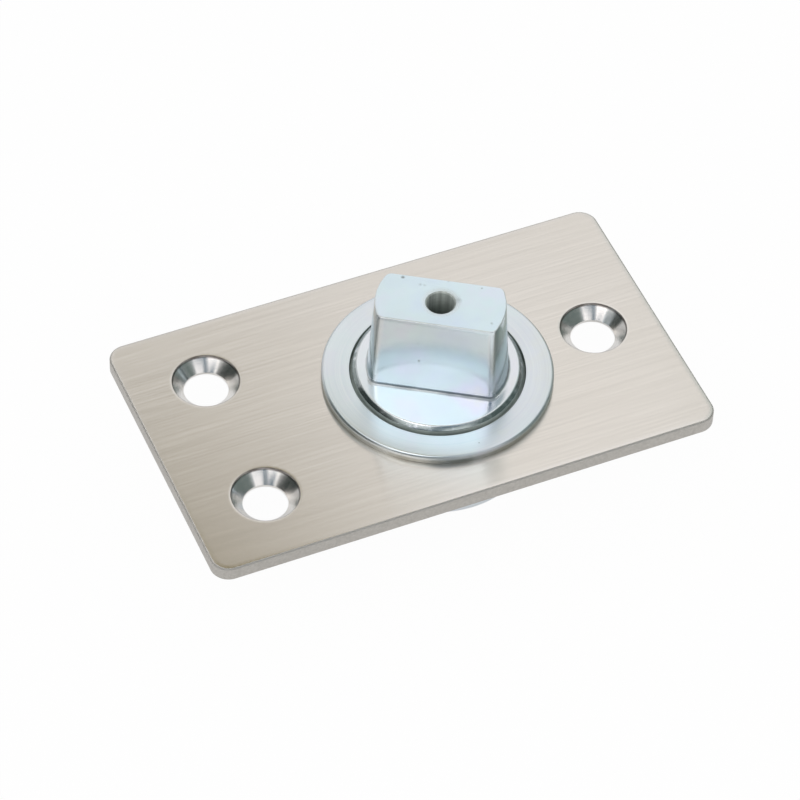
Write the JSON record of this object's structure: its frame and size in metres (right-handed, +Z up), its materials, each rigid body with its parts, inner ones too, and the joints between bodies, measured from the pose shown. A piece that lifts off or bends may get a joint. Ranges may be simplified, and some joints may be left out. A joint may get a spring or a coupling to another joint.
{
  "type": "floor pivot",
  "caption": "Door floor pivot: brushed plate with countersunk holes, a flanged housing set in it and a flat-tapered spindle that turns on a thrust ball bearing.",
  "frame": {"origin": "on the pivot axis, at the plate's underside, where the housing body leaves the plate", "axes": "+Z up along the pivot axis, towards the door; +X along the plate's long side, towards the end with the single screw hole"},
  "size_m": [0.1, 0.058, 0.0378],
  "materials": {
    "brushed_stainless": "brushed along the plate's length",
    "zinc_plate": "bright blue-white zinc plate",
    "bearing_steel": "ground and polished",
    "cage_steel": "pressed sheet",
    "bronze": "turned, oiled",
    "blued_spring_steel": "phosphated and oiled"
  },
  "bodies": {
    "base": {"floor_plate": "brushed_stainless", "bearing_housing": "zinc_plate", "guide_bush": "bronze", "bearing_housing_washer": "bearing_steel"},
    "spindle": {"spindle": "zinc_plate", "bearing_shaft_washer": "bearing_steel", "retaining_washer": "zinc_plate", "retaining_ring": "blued_spring_steel"},
    "ball_cage": {"bearing_cage": "cage_steel", "bearing_ball_01": "bearing_steel", "bearing_ball_02": "bearing_steel", "bearing_ball_03": "bearing_steel", "bearing_ball_04": "bearing_steel", "bearing_ball_05": "bearing_steel", "bearing_ball_06": "bearing_steel", "bearing_ball_07": "bearing_steel", "bearing_ball_08": "bearing_steel", "bearing_ball_09": "bearing_steel", "bearing_ball_10": "bearing_steel", "bearing_ball_11": "bearing_steel", "bearing_ball_12": "bearing_steel"}
  },
  "joints": [
    {"name": "spindle_turn", "type": "hinge", "parent": "base", "child": "spindle", "pos_m": [0, 0, 0], "axis": [0, 0, 1], "continuous": true},
    {"name": "cage_turn", "type": "hinge", "parent": "base", "child": "ball_cage", "pos_m": [0, 0, 0], "axis": [0, 0, 1], "continuous": true}
  ],
  "couplings": [
    {"joint": "cage_turn", "follows": "spindle_turn", "ratio": 0.5}
  ]
}
